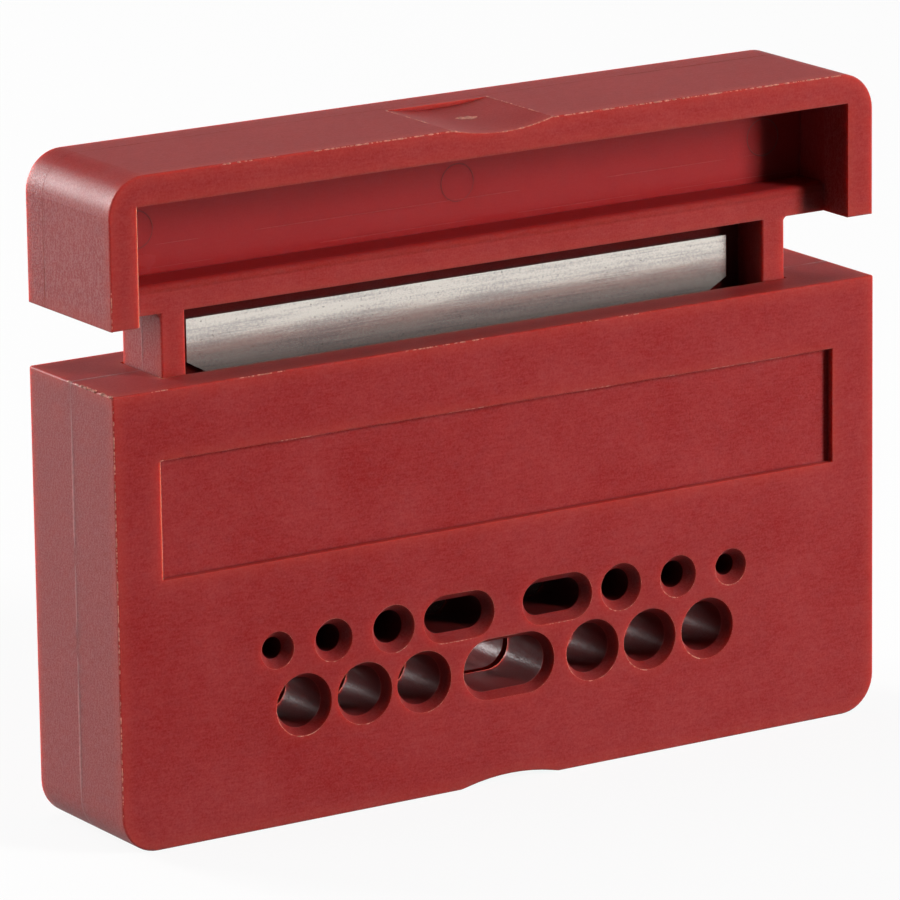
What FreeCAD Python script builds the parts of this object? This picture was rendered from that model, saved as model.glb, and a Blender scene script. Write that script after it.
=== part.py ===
import FreeCAD, Part
import os

# A hand cutter for plastic optical fibre: a block of two moulded halves with two rows of fibre
# passages, and a push-down plunger that carries a flat steel blade through them.
# Millimetres. Origin at the centre of the block's foot, +X to the right, the front face
# towards -Y, +Z up. The plunger stands part-way down, its blade edge between the two rows.

VECTOR = FreeCAD.Vector
ORIGIN = VECTOR(0, 0, 0)
ALONG_X = VECTOR(1, 0, 0)
ALONG_Y = VECTOR(0, 1, 0)
NEAR = 1e-4
OVERRUN = 1.0

# Block
BLOCK_WIDTH = 40.0
BLOCK_DEPTH = 7.28
BLOCK_HEIGHT = 20.55
CORNER_RADIUS = 1.75
EDGE_RADIUS = 0.1
PANEL_WIDTH = 35.44
PANEL_BOTTOM = 12.1
PANEL_TOP = 17.43
PANEL_DEPTH = 0.4
SCOOP_RADIUS = 10.0
SCOOP_DEPTH = 0.36

# Fibre passages: distance from the middle, then bore diameter. The front mouths are flared.
UPPER_ROW = 8.04
UPPER_BORES = ((12.03, 1.0), (9.15, 1.25), (6.04, 1.5))
UPPER_SLOT = 2.61
UPPER_SLOT_WIDTH = 3.05
UPPER_SLOT_HEIGHT = 1.5
UPPER_FLARE = 0.36
LOWER_ROW = 5.35
LOWER_BORES = (10.72, 7.58, 4.48)
LOWER_DIAMETER = 2.3
LOWER_SLOT_WIDTH = 4.3
LOWER_FLARE = 0.28
FLARE_DEPTH = 0.5

# Blade
BLADE_THICKNESS = 0.3
BLADE_WIDTH = 26.4
BLADE_EDGE = 6.55
BLADE_TOP = 22.55
BLADE_BEVEL = 0.9
SHOULDER_WIDTH = 28.5
SHOULDER_HEIGHT = 1.93
SHOULDER_TAPER = 0.6
BLADE_PEGS = 8.0
BLADE_PEG_HEIGHT = 18.0
BLADE_HOLE = 2.1

# Plunger
CAP_WIDTH = 39.9
CAP_BOTTOM = 23.4
CAP_HEIGHT = 6.65
CAP_WALL = 1.36
SKIRT_WALL = 1.36
CAP_SCOOP_WIDTH = 5.3
CAP_SCOOP_DEPTH = 0.36
CAP_SCOOP_REAR_DEPTH = 0.22
CAP_SCOOP_END = 1.75
LEDGE_HEIGHT = 1.3
LEDGE_ROUNDING = 0.3
WEB_THICKNESS = 1.2
WEB_BOTTOM = 15.5
LEG_INNER = 15.2
LEG_OUTER = 16.4
LEG_DEPTH = 3.4
LEG_BOTTOM = 13.6
LEG_ROOT_RADIUS = 0.3
LUG_REACH = 0.8
LUG_DEPTH = 2.0
LUG_TOP = 15.05
LUG_LAND = 0.45
PEG_DIAMETER = 2.0
PEG_HEAD_DIAMETER = 3.2
PEG_HEAD_TOP = 2.4
PEG_HEAD_HEIGHT = 0.5

# Guides inside the block
GUIDE_CLEARANCE = 0.1
GUIDE_BOTTOM = 10.4
POCKET_CLEARANCE = 0.2
POCKET_TOP = 17.5
SLIT_WIDTH = 0.4
SLIT_END_CLEARANCE = 0.25
SLIT_BOTTOM = 3.2

# Pins that join the two halves: distance from the middle, height, diameter
JOINING_PINS = ((17.2, 4.4, 2.0), (18.65, 18.9, 1.2))
PIN_LENGTH = 1.4
PIN_CLEARANCE = 0.05
SOCKET_LENGTH = 1.65

FRONT = -BLOCK_DEPTH / 2
CAP_TOP = CAP_BOTTOM + CAP_HEIGHT
WEB_FRONT = BLADE_THICKNESS / 2
WEB_REAR = WEB_FRONT + WEB_THICKNESS


def box(x_low, x_high, y_low, y_high, z_low, z_high):
    """A square-edged block between two corners."""
    corner = VECTOR(x_low, y_low, z_low)
    return Part.makeBox(x_high - x_low, y_high - y_low, z_high - z_low, corner)


def face_of(points):
    """A flat face bounded by straight lines."""
    return Part.Face(Part.makePolygon(list(points) + [points[0]]))


def cylinder_y(x, y_low, y_high, z, diameter):
    """A round bar along Y."""
    return Part.makeCylinder(diameter / 2, y_high - y_low, VECTOR(x, y_low, z), ALONG_Y)


def edges_at(shape, chosen):
    """The edges whose bounding box passes the test."""
    return [edge for edge in shape.Edges if chosen(edge.BoundBox)]


def moulded_bar(width, y_low, y_high, z_low, z_high, round_level):
    """A bar along X whose two ends are rounded at the foot or at the top."""
    bar = box(-width / 2, width / 2, y_low, y_high, z_low, z_high)
    corners = edges_at(bar, lambda b: b.YLength > NEAR and abs(b.ZMin - round_level) < NEAR)
    return bar.makeFillet(CORNER_RADIUS, corners)


def passage(x, height, width, depth, flare):
    """One fibre passage through the front half: a round or long bore, its mouth plain or flared."""
    radius = depth / 2
    mouth = FRONT - NEAR
    spread = (width - depth) / 2
    wall = [VECTOR(0, mouth, radius + flare), VECTOR(0, NEAR, radius)]
    if flare:
        wall.insert(1, VECTOR(0, FRONT + FLARE_DEPTH, radius))
    section = [VECTOR(0, mouth, 0)] + wall + [VECTOR(0, NEAR, 0)]
    end = face_of(section).revolve(ORIGIN, ALONG_Y, 360)
    if spread < NEAR:
        end.translate(VECTOR(x, 0, height))
        return end
    mirrored = [VECTOR(0, p.y, -p.z) for p in reversed(wall)]
    middle = face_of(wall + mirrored).extrude(VECTOR(2 * spread, 0, 0))
    middle.translate(VECTOR(-spread, 0, 0))
    left = end.translated(VECTOR(-spread, 0, 0))
    right = end.translated(VECTOR(spread, 0, 0))
    whole = middle.fuse([left, right])
    whole.translate(VECTOR(x, 0, height))
    return whole


def fibre_passages(flared):
    """Both rows of passages, the upper one for bare fibres and the lower one for jacketed ones."""
    upper_flare = UPPER_FLARE if flared else 0
    lower_flare = LOWER_FLARE if flared else 0
    cuts = [passage(0, LOWER_ROW, LOWER_SLOT_WIDTH, LOWER_DIAMETER, lower_flare)]
    for side in (-1, 1):
        for x, bore in UPPER_BORES:
            cuts.append(passage(side * x, UPPER_ROW, bore, bore, upper_flare))
        for x in LOWER_BORES:
            cuts.append(passage(side * x, LOWER_ROW, LOWER_DIAMETER, LOWER_DIAMETER, lower_flare))
        slot_x = side * UPPER_SLOT
        cuts.append(passage(slot_x, UPPER_ROW, UPPER_SLOT_WIDTH, UPPER_SLOT_HEIGHT, upper_flare))
    return cuts


def guides():
    """Half of the hollow that the plunger runs in: leg guide, lug pockets and blade slit."""
    guide_x = LEG_OUTER + GUIDE_CLEARANCE
    guide_y = LEG_DEPTH / 2 + GUIDE_CLEARANCE
    pocket_x = LEG_OUTER + LUG_REACH + POCKET_CLEARANCE
    pocket_y = LUG_DEPTH / 2 + POCKET_CLEARANCE
    slit_x = BLADE_WIDTH / 2 + SLIT_END_CLEARANCE
    above = BLOCK_HEIGHT + OVERRUN
    return [
        box(-guide_x, guide_x, -guide_y, NEAR, GUIDE_BOTTOM, above),
        box(-pocket_x, pocket_x, -pocket_y, NEAR, GUIDE_BOTTOM, POCKET_TOP),
        box(-slit_x, slit_x, -SLIT_WIDTH / 2, NEAR, SLIT_BOTTOM, GUIDE_BOTTOM + NEAR),
    ]


def half_block(pin_side, is_front):
    """One half of the block, drawn as the front one, with pins on one side and sockets on the other."""
    half = moulded_bar(BLOCK_WIDTH, FRONT, 0, 0, BLOCK_HEIGHT, 0)
    eased = edges_at(half, lambda b: b.YMax < FRONT + NEAR)
    eased += edges_at(half, lambda b: b.YLength > NEAR and b.ZMin > BLOCK_HEIGHT - NEAR)
    half = half.makeFillet(EDGE_RADIUS, eased)
    outside = FRONT - OVERRUN
    gate_hollow = cylinder_y(0, outside, NEAR, SCOOP_DEPTH - SCOOP_RADIUS, 2 * SCOOP_RADIUS)
    cuts = fibre_passages(is_front) + guides() + [gate_hollow]
    if is_front:
        panel_x = PANEL_WIDTH / 2
        cuts.append(box(-panel_x, panel_x, outside, FRONT + PANEL_DEPTH, PANEL_BOTTOM, PANEL_TOP))
    pins = []
    for x, height, diameter in JOINING_PINS:
        pins.append(cylinder_y(pin_side * x, -NEAR, PIN_LENGTH, height, diameter))
        socket = diameter + 2 * PIN_CLEARANCE
        cuts.append(cylinder_y(-pin_side * x, -SOCKET_LENGTH, NEAR, height, socket))
    return half.cut(cuts).fuse(pins).removeSplitter()


def cap_scoop():
    """The shallow hollow in the cap's top: open to the front, with a low wall at its rear."""
    half = CAP_SCOOP_WIDTH / 2
    clear = VECTOR(0, 0, OVERRUN)
    ends = []
    for y, depth in ((FRONT - NEAR, CAP_SCOOP_DEPTH), (CAP_SCOOP_END, CAP_SCOOP_REAR_DEPTH)):
        left = VECTOR(-half, y, CAP_TOP)
        right = VECTOR(half, y, CAP_TOP)
        floor = Part.Arc(left, VECTOR(0, y, CAP_TOP - depth), right).toShape()
        lid = Part.makePolygon([right, right + clear, left + clear, left])
        ends.append(Part.Wire([floor] + lid.Edges))
    return Part.makeLoft(ends, True, True)


def cap():
    """The finger cap: a top wall, two skirts and a middle web, open to the front and the rear."""
    whole = moulded_bar(CAP_WIDTH, FRONT, -FRONT, CAP_BOTTOM, CAP_TOP, CAP_TOP)
    eased = edges_at(whole, lambda b: b.YMax < FRONT + NEAR or b.YMin > -FRONT - NEAR)
    whole = whole.makeFillet(EDGE_RADIUS, eased)
    inner_x = CAP_WIDTH / 2 - SKIRT_WALL
    ceiling = CAP_TOP - CAP_WALL
    shelf = CAP_BOTTOM + LEDGE_HEIGHT
    below = CAP_BOTTOM - OVERRUN
    outside = -FRONT + OVERRUN
    hollows = []
    for side, wall_y in ((-1, WEB_FRONT), (1, WEB_REAR)):
        ledge_y = side * LEG_DEPTH / 2
        section = [
            VECTOR(-inner_x, side * outside, below),
            VECTOR(-inner_x, ledge_y, below),
            VECTOR(-inner_x, ledge_y, shelf),
            VECTOR(-inner_x, wall_y, shelf),
            VECTOR(-inner_x, wall_y, ceiling),
            VECTOR(-inner_x, side * outside, ceiling),
        ]
        hollows.append(face_of(section).extrude(VECTOR(2 * inner_x, 0, 0)))
    hollowed = whole.cut(hollows + [cap_scoop()])
    lips = edges_at(hollowed, lambda b: b.XLength > CAP_WIDTH / 2 and abs(b.ZMin - shelf) < NEAR
                    and b.ZLength < NEAR and abs(abs(b.YMin) - LEG_DEPTH / 2) < NEAR)
    return hollowed.makeFillet(LEDGE_ROUNDING, lips)


def leg():
    """The right leg with the lug that stops it from being pulled out of the block."""
    depth = LEG_DEPTH / 2
    bar = box(LEG_INNER, LEG_OUTER, -depth, depth, LEG_BOTTOM, CAP_BOTTOM + NEAR)
    uprights = edges_at(bar, lambda b: b.ZLength > NEAR)
    bar = bar.makeFillet(EDGE_RADIUS, uprights)
    lug = face_of([
        VECTOR(LEG_OUTER - EDGE_RADIUS, -LUG_DEPTH / 2, LUG_TOP),
        VECTOR(LEG_OUTER + LUG_REACH, -LUG_DEPTH / 2, LUG_TOP),
        VECTOR(LEG_OUTER + LUG_REACH, -LUG_DEPTH / 2, LUG_TOP - LUG_LAND),
        VECTOR(LEG_OUTER - EDGE_RADIUS, -LUG_DEPTH / 2, LEG_BOTTOM),
    ]).extrude(VECTOR(0, LUG_DEPTH, 0))
    root = box(LEG_OUTER - NEAR, LEG_OUTER + LEG_ROOT_RADIUS, -depth + EDGE_RADIUS, depth - EDGE_RADIUS,
               CAP_BOTTOM - LEG_ROOT_RADIUS, CAP_BOTTOM + NEAR)
    root_x = LEG_OUTER + LEG_ROOT_RADIUS
    root = root.cut(cylinder_y(root_x, -depth, depth, CAP_BOTTOM - LEG_ROOT_RADIUS, 2 * LEG_ROOT_RADIUS))
    return bar.fuse([lug, root])


def blade_peg(x):
    """A peg of the web that passes through the blade and is spread to a head in front of it."""
    shank = cylinder_y(x, -WEB_FRONT, WEB_FRONT + NEAR, BLADE_PEG_HEIGHT, PEG_DIAMETER)
    root = VECTOR(x, -WEB_FRONT, BLADE_PEG_HEIGHT)
    head = Part.makeCone(PEG_HEAD_DIAMETER / 2, PEG_HEAD_TOP / 2, PEG_HEAD_HEIGHT, root, -ALONG_Y)
    return shank.fuse(head)


def plunger():
    """The one-piece moulded plunger: cap, blade web and two legs."""
    right = leg()
    left = right.mirror(ORIGIN, ALONG_X)
    web = box(-LEG_INNER, LEG_INNER, WEB_FRONT, WEB_REAR, WEB_BOTTOM, CAP_BOTTOM + NEAR)
    pegs = [blade_peg(side * BLADE_PEGS) for side in (-1, 1)]
    return cap().fuse([left, right, web] + pegs).removeSplitter()


def blade():
    """The flat steel blade: shouldered at the top, ground to an edge from both faces below."""
    half = BLADE_THICKNESS / 2
    shoulder = SHOULDER_WIDTH / 2
    body = BLADE_WIDTH / 2
    shoulder_z = BLADE_TOP - SHOULDER_HEIGHT
    taper_z = shoulder_z - SHOULDER_TAPER
    right_side = [(shoulder, BLADE_TOP), (shoulder, shoulder_z), (body, taper_z), (body, BLADE_EDGE)]
    outline = [VECTOR(x, -half, z) for x, z in right_side]
    outline += [VECTOR(-x, -half, z) for x, z in reversed(right_side)]
    sheet = face_of(outline).extrude(VECTOR(0, BLADE_THICKNESS, 0))
    ground = face_of([
        VECTOR(-shoulder, -half, BLADE_TOP),
        VECTOR(-shoulder, -half, BLADE_EDGE + BLADE_BEVEL),
        VECTOR(-shoulder, 0, BLADE_EDGE),
        VECTOR(-shoulder, half, BLADE_EDGE + BLADE_BEVEL),
        VECTOR(-shoulder, half, BLADE_TOP),
    ]).extrude(VECTOR(SHOULDER_WIDTH, 0, 0))
    holes = []
    for side in (-1, 1):
        holes.append(cylinder_y(side * BLADE_PEGS, -OVERRUN, OVERRUN, BLADE_PEG_HEIGHT, BLADE_HOLE))
    return sheet.common(ground).cut(holes)


def main():
    """Build the four pieces and write each to its own file."""
    pieces = {
        "front_shell": half_block(-1, True),
        "rear_shell": half_block(1, False).mirror(ORIGIN, ALONG_Y),
        "plunger": plunger(),
        "blade": blade(),
    }
    os.makedirs("parts", exist_ok=True)
    for name, shape in pieces.items():
        print(name, "valid" if shape.isValid() else "INVALID", len(shape.Solids), round(shape.Volume, 2))
        shape.exportStep("parts/" + name + ".step")


main()
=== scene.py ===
import math

import bmesh
import bpy
import numpy as np
from bpy.props import FloatProperty, FloatVectorProperty, PointerProperty
from mathutils import Matrix, Vector


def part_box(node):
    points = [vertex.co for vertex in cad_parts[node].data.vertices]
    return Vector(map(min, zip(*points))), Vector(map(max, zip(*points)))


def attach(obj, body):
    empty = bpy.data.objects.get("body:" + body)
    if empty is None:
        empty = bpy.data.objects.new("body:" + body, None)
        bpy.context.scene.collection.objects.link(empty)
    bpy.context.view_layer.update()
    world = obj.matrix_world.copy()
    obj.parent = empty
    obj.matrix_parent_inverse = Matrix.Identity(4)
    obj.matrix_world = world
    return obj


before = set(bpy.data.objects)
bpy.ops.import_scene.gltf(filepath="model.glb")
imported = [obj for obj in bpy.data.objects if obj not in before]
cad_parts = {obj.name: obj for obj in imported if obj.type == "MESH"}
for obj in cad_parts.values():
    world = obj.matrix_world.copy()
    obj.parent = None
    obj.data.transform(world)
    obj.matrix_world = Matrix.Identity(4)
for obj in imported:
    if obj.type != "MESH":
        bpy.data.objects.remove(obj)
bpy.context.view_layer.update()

bl_info = {
    "name": "Fibre cutter finishes",
    "version": (1, 0, 0),
    "blender": (4, 5, 0),
    "location": "3D View > Sidebar > Fibre Cutter",
    "description": "Finishes, moulding marks and studio for a cutter for plastic optical fibre",
    "category": "Object",
}

MM = 0.001
HALF_ROOT = math.sqrt(0.5)
QUARTER_TURN = math.pi / 2
SIDES = ((-1, "left"), (1, "right"))

# Places read from the frame, in metres. The front is towards -Y.
HALF_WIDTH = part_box("front_shell")[1][0]
FRONT_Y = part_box("front_shell")[0][1]
BLOCK_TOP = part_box("front_shell")[1][2]
CAP_HALF_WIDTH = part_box("plunger")[1][0]
CAP_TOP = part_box("plunger")[1][2]

# Sizes that the solids share with these pieces
CORNER_RADIUS = 1.75 * MM
EDGE_RADIUS = 0.1 * MM
SCOOP_HALF = 2.65 * MM
SCOOP_DEPTH = 0.36 * MM
SCOOP_REAR_DEPTH = 0.22 * MM
SCOOP_END = 1.75 * MM
SCOOP_RADIUS = (SCOOP_HALF ** 2 + SCOOP_DEPTH ** 2) / (2 * SCOOP_DEPTH)
CAP_BOTTOM = 23.4 * MM
GUIDE_END = 16.5 * MM
LEG_OUTER = 16.4 * MM
LEG_FOOT = 15.2 * MM
LEG_ROOT = 23.1 * MM
WALL_FACE = 0.15 * MM
WALL_END = 18.5 * MM
PANEL_HALF = 17.72 * MM
PANEL_TOP = 17.43 * MM

# How far the middle of a rounded edge lies inside both of its faces
EASED = EDGE_RADIUS * (1 - HALF_ROOT)

# Heights of the two rows of fibre passages, and each mouth's distance from the middle, radius at the rim and
# half straight run, in millimetres. All but the lower slot are there on the left and on the right.
UPPER_ROW = 8.04
LOWER_ROW = 5.35
UPPER_MOUTHS = ((12.03, 0.86, 0.0), (9.15, 0.985, 0.0), (6.04, 1.11, 0.0), (2.61, 1.11, 0.775))
LOWER_MOUTHS = ((10.72, 1.43, 0.0), (7.58, 1.43, 0.0), (4.48, 1.43, 0.0))
LOWER_SLOT = (0.0, 1.43, 1.0)

# Marks of the mould: parting line, ejector pins, lines on the wall, ends of the flash, and the torn gate
PARTING_Y = 2.15 * MM
EJECTOR_PLACES = (-16.5 * MM, 0.0, 16.5 * MM)
EJECTOR_HEIGHT = 26.75 * MM
EJECTOR_RADIUS = 0.85 * MM
WALL_LINES = (25.98 * MM, 24.97 * MM)
FRONT_FLASH_END = 19 * MM
LEFT_FLASH_END = 0.3 * MM
GATE_X, GATE_Y = 0.1 * MM, -0.55 * MM

# Mounds of the torn gate: place from its middle, half lengths and height, in millimetres, and seed
GATE_MOUNDS = (
    ((0.0, 0.0), (0.42, 0.3), 0.06, 5),
    ((-0.3, 0.1), (0.2, 0.14), 0.08, 6),
    ((0.32, -0.12), (0.16, 0.12), 0.07, 7),
)

# Directions in which marks stand out: square to a face, or leaning out of an edge
FORWARDS = (0, -1, 0)
UPWARDS = (0, 0, 1)
FRONT_TOP_LEAN = (0, -HALF_ROOT, HALF_ROOT)
LEFT_TOP_LEAN = (-HALF_ROOT, 0, HALF_ROOT)
FRONT_LEFT_LEAN = (-HALF_ROOT, -HALF_ROOT, 0)

# Steps, point counts and depths below the surface of the beads that make the marks
LINE_STEP = 0.1 * MM
CAP_LINE_STEP = 0.12 * MM
BEAD_SIDES = 7
TOP_ARC_POINTS = 9
FOOT_ARC_POINTS = 12
MOUTH_ARC_POINTS = 24
RING_POINTS = 96
FLASH_SINK = 0.006 * MM
HAIRLINE_SINK = 0.005 * MM

# Flash: reach of a patch and of a grain in stations, softness of a patch's ends, flat share of the width
PATCH_REACH = 22
GRAIN_REACH = 1
PATCH_SOFTNESS = 0.15
FLAT_SHARE = 0.35

# Areas of the plastic with a finish of their own, most of them darkened with painted shade: two opposite
# corners, in millimetres
MOUTH_FLARES = ((-14.0, -3.6, 3.5), (14.0, -3.14, 9.8))
UPPER_BORES = ((-14.0, -3.1, 6.75), (14.0, 3.6, 9.6))
LOWER_BORES = ((-14.0, -3.1, 3.8), (14.0, 3.6, 6.75))
FINGER_HOLLOW = ((-18.6, -1.75, 24.6), (18.6, 0.3, 28.8))
LEDGE = ((-18.6, -1.8, 24.3), (18.6, 0.1, 24.76))
BEHIND_BLADE = ((-15.15, -0.3, 20.0), (15.15, 0.5, 23.35))
REAR_STRIP = ((-21.0, PARTING_Y / MM, 23.0), (21.0, 4.0, 31.0))
AREA_SOFTNESS = 0.05

# Finish of the plastic. Dark grains multiply the colour, and pale ones are added to it.
DARK_GRAIN = (0.86, 0.45, 0.45, 1.0)
PALE_GRAIN = (0.032, 0.018, 0.017, 1.0)
# Share of the painted glow along edges, and how much glossier the edges are
EDGE_SHARE = 0.55
EDGE_GLOSS = 0.05
# Reach from the middle, in millimetres, where the ends' mask starts and is full; it carries their painted
# sheen
END_START, END_FULL = 16.0, 16.2
GRAIN_STRENGTH = 0.4
GRAIN_DEPTH = 0.02 * MM
COARSE_GAIN = 2.0
POLISH_RANGE = (0.08, 0.6)
POLISH_ROUGHNESS = 0.25
LIGHT_REACH = (1.0, 0.3, 0.2)
LIGHT_SCALE = 1.0 * MM
CRUMB_SHINE = 0.18

# Floor as the lamps and as the camera see it, the share of plain white in it, and its half side in metres
FLOOR_GREY = (0.12, 0.12, 0.12, 1.0)
FLOOR_PALE = (0.9, 0.9, 0.9, 1.0)
FLOOR_WHITE_SHARE = 0.9
FLOOR_REACH = 4.0
WHITE = (1.0, 1.0, 1.0, 1.0)

# Sky in shiny surfaces: its brightness at the horizon and high up, and the Z of a direction that is high up
SKY_LOW, SKY_HIGH, SKY_HEIGHT = 1.0, 0.2, 0.3

# Lamps: name, width and height, direction from the object, distance, and whether shiny surfaces mirror it,
# in metres. The key lamp isn't mirrored, because its image would wash out the cap's top from behind.
LAMPS = (
    ("key", (0.08, 0.19), (0.58, -0.77, 0.267), 0.35, False),
    ("left", (0.3, 0.3), (-0.93, 0.30, 0.22), 0.5, True),
    ("rim", (0.2, 0.2), (-0.43, 0.82, 0.38), 0.6, True),
    ("back", (0.08, 0.08), (-0.32, 0.93, 0.13), 0.5, True),
    ("top", (0.25, 0.25), (0.0, 0.3, 0.95), 0.5, True),
)
SENSOR_WIDTH = 36.0
NEAREST_SEEN = 0.01


class CutterColours(bpy.types.PropertyGroup):
    """Colours of the cutter."""

    block_red: FloatVectorProperty(
        name="Block red", description="Plastic of the two block halves",
        default=(0.332, 0.034, 0.035), size=3, min=0, max=1, subtype="COLOR")
    # Paler ends: painted sheen of the end faces' reflection, with some handling wear
    sheen_and_wear_red: FloatVectorProperty(
        name="Worn red", description="Paler, duller plastic on the two ends, where the part is handled",
        default=(0.303, 0.071, 0.071), size=3, min=0, max=1, subtype="COLOR")
    plunger_red: FloatVectorProperty(
        name="Plunger red", description="Plastic of the plunger",
        default=(0.338, 0.036, 0.035), size=3, min=0, max=1, subtype="COLOR")
    # Painted shade: a darker copy of the plunger red for the recessed finger hollow, which is also smoother
    hollow_shade_red: FloatVectorProperty(
        name="Hollow red", description="Deeper, smoother plastic in the plunger's finger hollow",
        default=(0.310, 0.015, 0.017), size=3, min=0, max=1, subtype="COLOR")
    # Painted glow of light coming through the plastic along its edges
    painted_glow_red: FloatVectorProperty(
        name="Edge red", description="Lighter, more orange plastic along edges, where light comes through",
        default=(0.44, 0.060, 0.042), size=3, min=0, max=1, subtype="COLOR")
    ridge_pink: FloatVectorProperty(
        name="Ridge pink", description="Rubbed plastic on the parting ridges",
        default=(0.42, 0.15, 0.145), size=3, min=0, max=1, subtype="COLOR")
    # Flash crumbs, made paler than the plastic as a painted highlight of their lit faces
    flash_and_highlight_pink: FloatVectorProperty(
        name="Flash pink", description="Pale crumbs of moulding flash",
        default=(0.70, 0.29, 0.22), size=3, min=0, max=1, subtype="COLOR")
    # Painted shade in the passages, the mouth flares, on the ledge and behind the blade, where shade falls
    painted_shade: FloatVectorProperty(
        name="Residue", description="Dark residue of fibre jackets in the passages and behind the blade",
        default=(0.045, 0.004, 0.004), size=3, min=0, max=1, subtype="COLOR")
    steel: FloatVectorProperty(
        name="Steel", description="Blade steel",
        default=(0.70, 0.655, 0.595), size=3, min=0, max=1, subtype="COLOR")
    steel_stain: FloatVectorProperty(
        name="Steel stain", description="Darker patches on the blade",
        default=(0.50, 0.47, 0.445), size=3, min=0, max=1, subtype="COLOR")


class CutterSizes(bpy.types.PropertyGroup):
    """Sizes of the finishes and the moulding marks."""

    grain: FloatProperty(
        name="Grain", description="Size of the fine grain of the plastic",
        default=0.08 * MM, min=0.02 * MM, unit="LENGTH", precision=5)
    blotch: FloatProperty(
        name="Blotches", description="Size of the soft patches in the plastic's colour",
        default=2.6 * MM, min=0.5 * MM, unit="LENGTH", precision=5)
    # Reach of the painted glow along edges
    edge_glow: FloatProperty(
        name="Edge glow", description="Reach of the lighter strip along edges",
        default=0.8 * MM, min=0.05 * MM, unit="LENGTH", precision=5)
    ridge_width: FloatProperty(
        name="Ridge width", description="Half width of the block's parting ridge",
        default=0.1 * MM, min=0.02 * MM, unit="LENGTH", precision=5)
    ridge_height: FloatProperty(
        name="Ridge height", description="Height of the block's parting ridge",
        default=0.014 * MM, min=0.005 * MM, unit="LENGTH", precision=5)
    hairline_width: FloatProperty(
        name="Hairline width", description="Half width of the fine mould lines on the plunger",
        default=0.035 * MM, min=0.01 * MM, unit="LENGTH", precision=5)
    hairline_height: FloatProperty(
        name="Hairline height", description="Height of the fine mould lines on the plunger",
        default=0.012 * MM, min=0.005 * MM, unit="LENGTH", precision=5)
    crumb_width: FloatProperty(
        name="Crumb width", description="Half width of the flash crumbs along edges",
        default=0.045 * MM, min=0.01 * MM, unit="LENGTH", precision=5)
    crumb_height: FloatProperty(
        name="Crumb height", description="Height of the flash crumbs along edges",
        default=0.05 * MM, min=0.01 * MM, unit="LENGTH", precision=5)
    crumb_step: FloatProperty(
        name="Crumb step", description="Spacing of the stations along a line of crumbs",
        default=0.035 * MM, min=0.01 * MM, unit="LENGTH", precision=5)


class StudioSettings(bpy.types.PropertyGroup):
    """Camera, lamps and background."""

    azimuth: FloatProperty(
        name="Azimuth", description="Side from which the camera looks, from the front",
        default=math.radians(-32.396), subtype="ANGLE")
    elevation: FloatProperty(
        name="Elevation", description="Height of the camera above the horizon",
        default=math.radians(14.313), subtype="ANGLE")
    roll: FloatProperty(
        name="Roll", description="Turn of the camera about its own axis",
        default=math.radians(-0.778), subtype="ANGLE")
    distance: FloatProperty(
        name="Distance", description="From the middle of the block's foot back to the camera, along the view",
        default=0.32834, unit="LENGTH", precision=5)
    aside: FloatProperty(
        name="Aside", description="Sideways place of the camera",
        default=-0.000753, unit="LENGTH", precision=6)
    raised: FloatProperty(
        name="Raised", description="Upward place of the camera",
        default=0.014084, unit="LENGTH", precision=6)
    lens: FloatProperty(
        name="Lens", description="Focal length on a sensor 36 mm wide",
        default=290.36, min=1, unit="CAMERA")
    key_power: FloatProperty(
        name="Key power", description="Tall lamp at the front right",
        default=1.6, min=0, unit="POWER")
    left_power: FloatProperty(
        name="Left power", description="Broad lamp to the left",
        default=1.15, min=0, unit="POWER")
    rim_power: FloatProperty(
        name="Rim power", description="Lamp behind and to the left",
        default=2.0, min=0, unit="POWER")
    back_power: FloatProperty(
        name="Back power", description="Small lamp behind, in line with the passages",
        default=1.5, min=0, unit="POWER")
    top_power: FloatProperty(
        name="Top power", description="Broad lamp overhead",
        default=0.4, min=0, unit="POWER")
    ambient: FloatProperty(
        name="Ambient", description="Soft light from all round",
        default=0.03, min=0, max=1, subtype="FACTOR")


# Mesh helpers


def new_piece(name, shape, material, body):
    """A smooth mesh object at the origin that rides on a body and takes its finish from a slot."""
    vertices, faces = shape
    mesh = bpy.data.meshes.new(name)
    mesh.from_pydata(vertices.tolist(), [], faces)
    edit = bmesh.new()
    edit.from_mesh(mesh)
    bmesh.ops.recalc_face_normals(edit, faces=edit.faces)
    edit.to_mesh(mesh)
    edit.free()
    mesh.polygons.foreach_set("use_smooth", np.ones(len(mesh.polygons), bool))
    mesh.materials.append(bpy.data.materials[material])
    piece = bpy.data.objects.new(name, mesh)
    bpy.context.scene.collection.objects.link(piece)
    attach(piece, body)


def joined(shapes):
    """Several (vertices, faces) pairs as one pair."""
    vertices, faces, start = [], [], 0
    for some_vertices, some_faces in shapes:
        vertices.append(some_vertices)
        faces += [[start + corner for corner in face] for face in some_faces]
        start += len(some_vertices)
    return np.vstack(vertices), faces


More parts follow.
